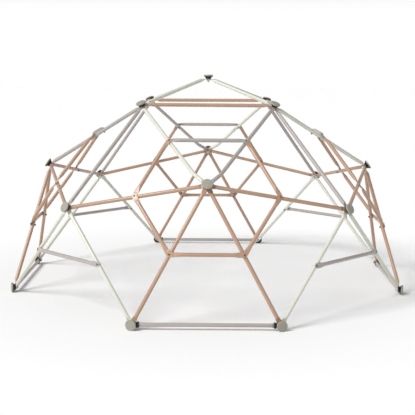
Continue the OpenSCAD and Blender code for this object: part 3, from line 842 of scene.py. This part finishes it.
def add_bars():
    """Every bar and rung node, side by side and corner by corner."""
    by_side = {
        "top_bar": (straight_bar(stacked(mirrored(TOP), 4, "top"), stacked(TOP, 3, "top"), TOP_REACH),
                    COPPER, "tube_copper"),
        "ground_bar": (main_bars((stacked(mirrored(FOOT), 0, "foot"), stacked(FOOT, 0, "foot"))),
                       GREY, "tube_grey"),
        "curved_bar_cream": (mirrored_part(curved_bar(CREAM_LEVELS)), CREAM, "tube_cream"),
        "curved_bar_grey": (curved_bar(GREY_LEVELS), GREY, "tube_grey"),
        "side_bars": (main_bars(RIGHT_SIDE_BAR, LEFT_SIDE_BAR), COPPER, "tube_copper"),
        "lower_bars": (main_bars(RIGHT_LOWER_BAR, LEFT_LOWER_BAR), COPPER, "tube_copper"),
        "ring_rungs": (joined([ring_rung(i) for i in range(1, 6)]), COPPER, "tube_copper"),
        "top_rung": (ring_rung(0), GREY, "tube_grey"),
    }
    by_corner = {
        "corner_bar": (straight_bar(stacked(TOP, 0, "top"), stacked(CORNER, 4, "corner"), HUB_REACH),
                       GREY, "tube_grey"),
        "corner_legs": (main_bars(FRONT_LEG, RIGHT_LEG), CREAM, "tube_cream"),
        "corner_rung": (rung(*(seated(p, 0, STRAIGHT_SEAT) for p in LEG_JOINTS)), GREY, "tube_grey"),
    }
    for names, bars in ((SIDES, by_side), (CORNERS, by_corner)):
        for bar, ((vertices, faces), material, slot) in bars.items():
            for k, place in enumerate(names):
                node = f"{bar}_{place}"
                make_piece(f"{node}_tube", vertices @ quarter_turns(k).T, faces, material, slot, node)
    for k, place in enumerate(CORNERS):
        bolts = stacked(CROWN, k, "crown"), stacked(turned(TOP, k), 5, "top")
        vertices, faces = straight_bar(*bolts, TOP_REACH)
        node = f"crown_bar_{place}"
        make_piece(f"{node}_tube", vertices, faces, CREAM, "tube_cream", node)


def at_hubs(part, hubs, offset, inwards=False):
    """Copies of a part on the outer or inner face of each hub's stack, offset further from it."""
    copies = []
    for p, kind in hubs:
        x, y, z = hub_axes(p)
        if inwards:
            y, z = -y, -z
        copies.append(placed(part, p + z * (STACK[kind] * FLAT_PITCH / 2 + offset), x, y, z))
    return joined(copies)


def add_hubs():
    """Caps, bodies, washers and nuts of all the hubs. The ground hubs' caps end flat at the ground."""
    cap = cap_part()
    vertices, faces = at_hubs(cap, HUBS, CAP_LIP)
    make_piece("hub_cap_lids", vertices, faces, GREIGE, "cap_plastic", "hub_caps")
    vertices, faces = at_hubs(cap, FEET, CAP_LIP)
    vertices[:, 2] = np.maximum(vertices[:, 2], 0)
    make_piece("foot_cap_lids", vertices, faces, GREIGE, "cap_plastic", "foot_caps")
    vertices, faces = at_hubs(body_part(), HUBS + FEET, 0)
    make_piece("hub_dished_bodies", vertices, faces, BLACK, "hub_black", "hub_bodies")
    vertices, faces = at_hubs(washer_part(), HUBS + FEET, 0, True)
    make_piece("hub_plain_washers", vertices, faces, ZINC, "zinc_steel", "hub_washers")
    vertices, faces = at_hubs(hub_nut_part(), HUBS + FEET, WASHER_T, True)
    make_piece("hub_domed_nuts", vertices, faces, ZINC, "zinc_steel", "hub_nuts")
    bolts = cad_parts["hub_bolts"]
    bolts.data.materials.clear()
    bolts.data.materials.append(ZINC)


def add_rung_fasteners():
    """A bolt and a cover nut at every rung joint."""
    joints = []
    for k in range(4):
        joints += [(turned(p, k), gap, 2) for p, gap in zip(RING, RING_GAP, strict=True)]
        joints += [(turned(p, k), STRAIGHT_SEAT, 1) for p in LEG_JOINTS]
    bolts, nuts, nut = [], [], rung_nut_part()
    for p, gap, stack in joints:
        x, y, z = hub_axes(p)
        bolts.append(placed(rung_bolt_part(stack, gap), p, x, y, z))
        nuts.append(placed(nut, p - z * (TUBE_R + STRAIGHT_SEAT), x, -y, -z))
    make_piece("rung_socket_bolts", *joined(bolts), BRONZE, "bolt_dark", "rung_bolts")
    make_piece("rung_cover_nuts", *joined(nuts), BRONZE, "bolt_dark", "rung_nuts")


def add_sleeves():
    """A sleeve at both ends of every ground bar."""
    part = sleeve_part()
    bolt, other = stacked(FOOT, 0, "foot"), stacked(mirrored(FOOT), 0, "foot")
    bend, other_bend = bend_point(bolt, other, HUB_REACH), bend_point(other, bolt, HUB_REACH)
    axis = unit(other_bend - bend)
    out = unit(in_plane(outward(bend), axis))
    # These axes are left-handed, so the faces are turned over first
    turned_over = (part[0], [f[:, ::-1] for f in part[1]])
    one = placed(turned_over, bend - HUB_REACH * axis, axis, np.cross(axis, out), out)
    pair = joined([one, mirrored_part(one)])
    copies = [(pair[0] @ quarter_turns(k).T, pair[1]) for k in range(4)]
    make_piece("ground_bar_sleeves", *joined(copies), BLACK, "hub_black", "ground_sleeves")


bpy.context.scene.view_settings.view_transform = "Standard"
add_camera()
add_studio()
add_bars()
add_hubs()
add_rung_fasteners()
add_sleeves()
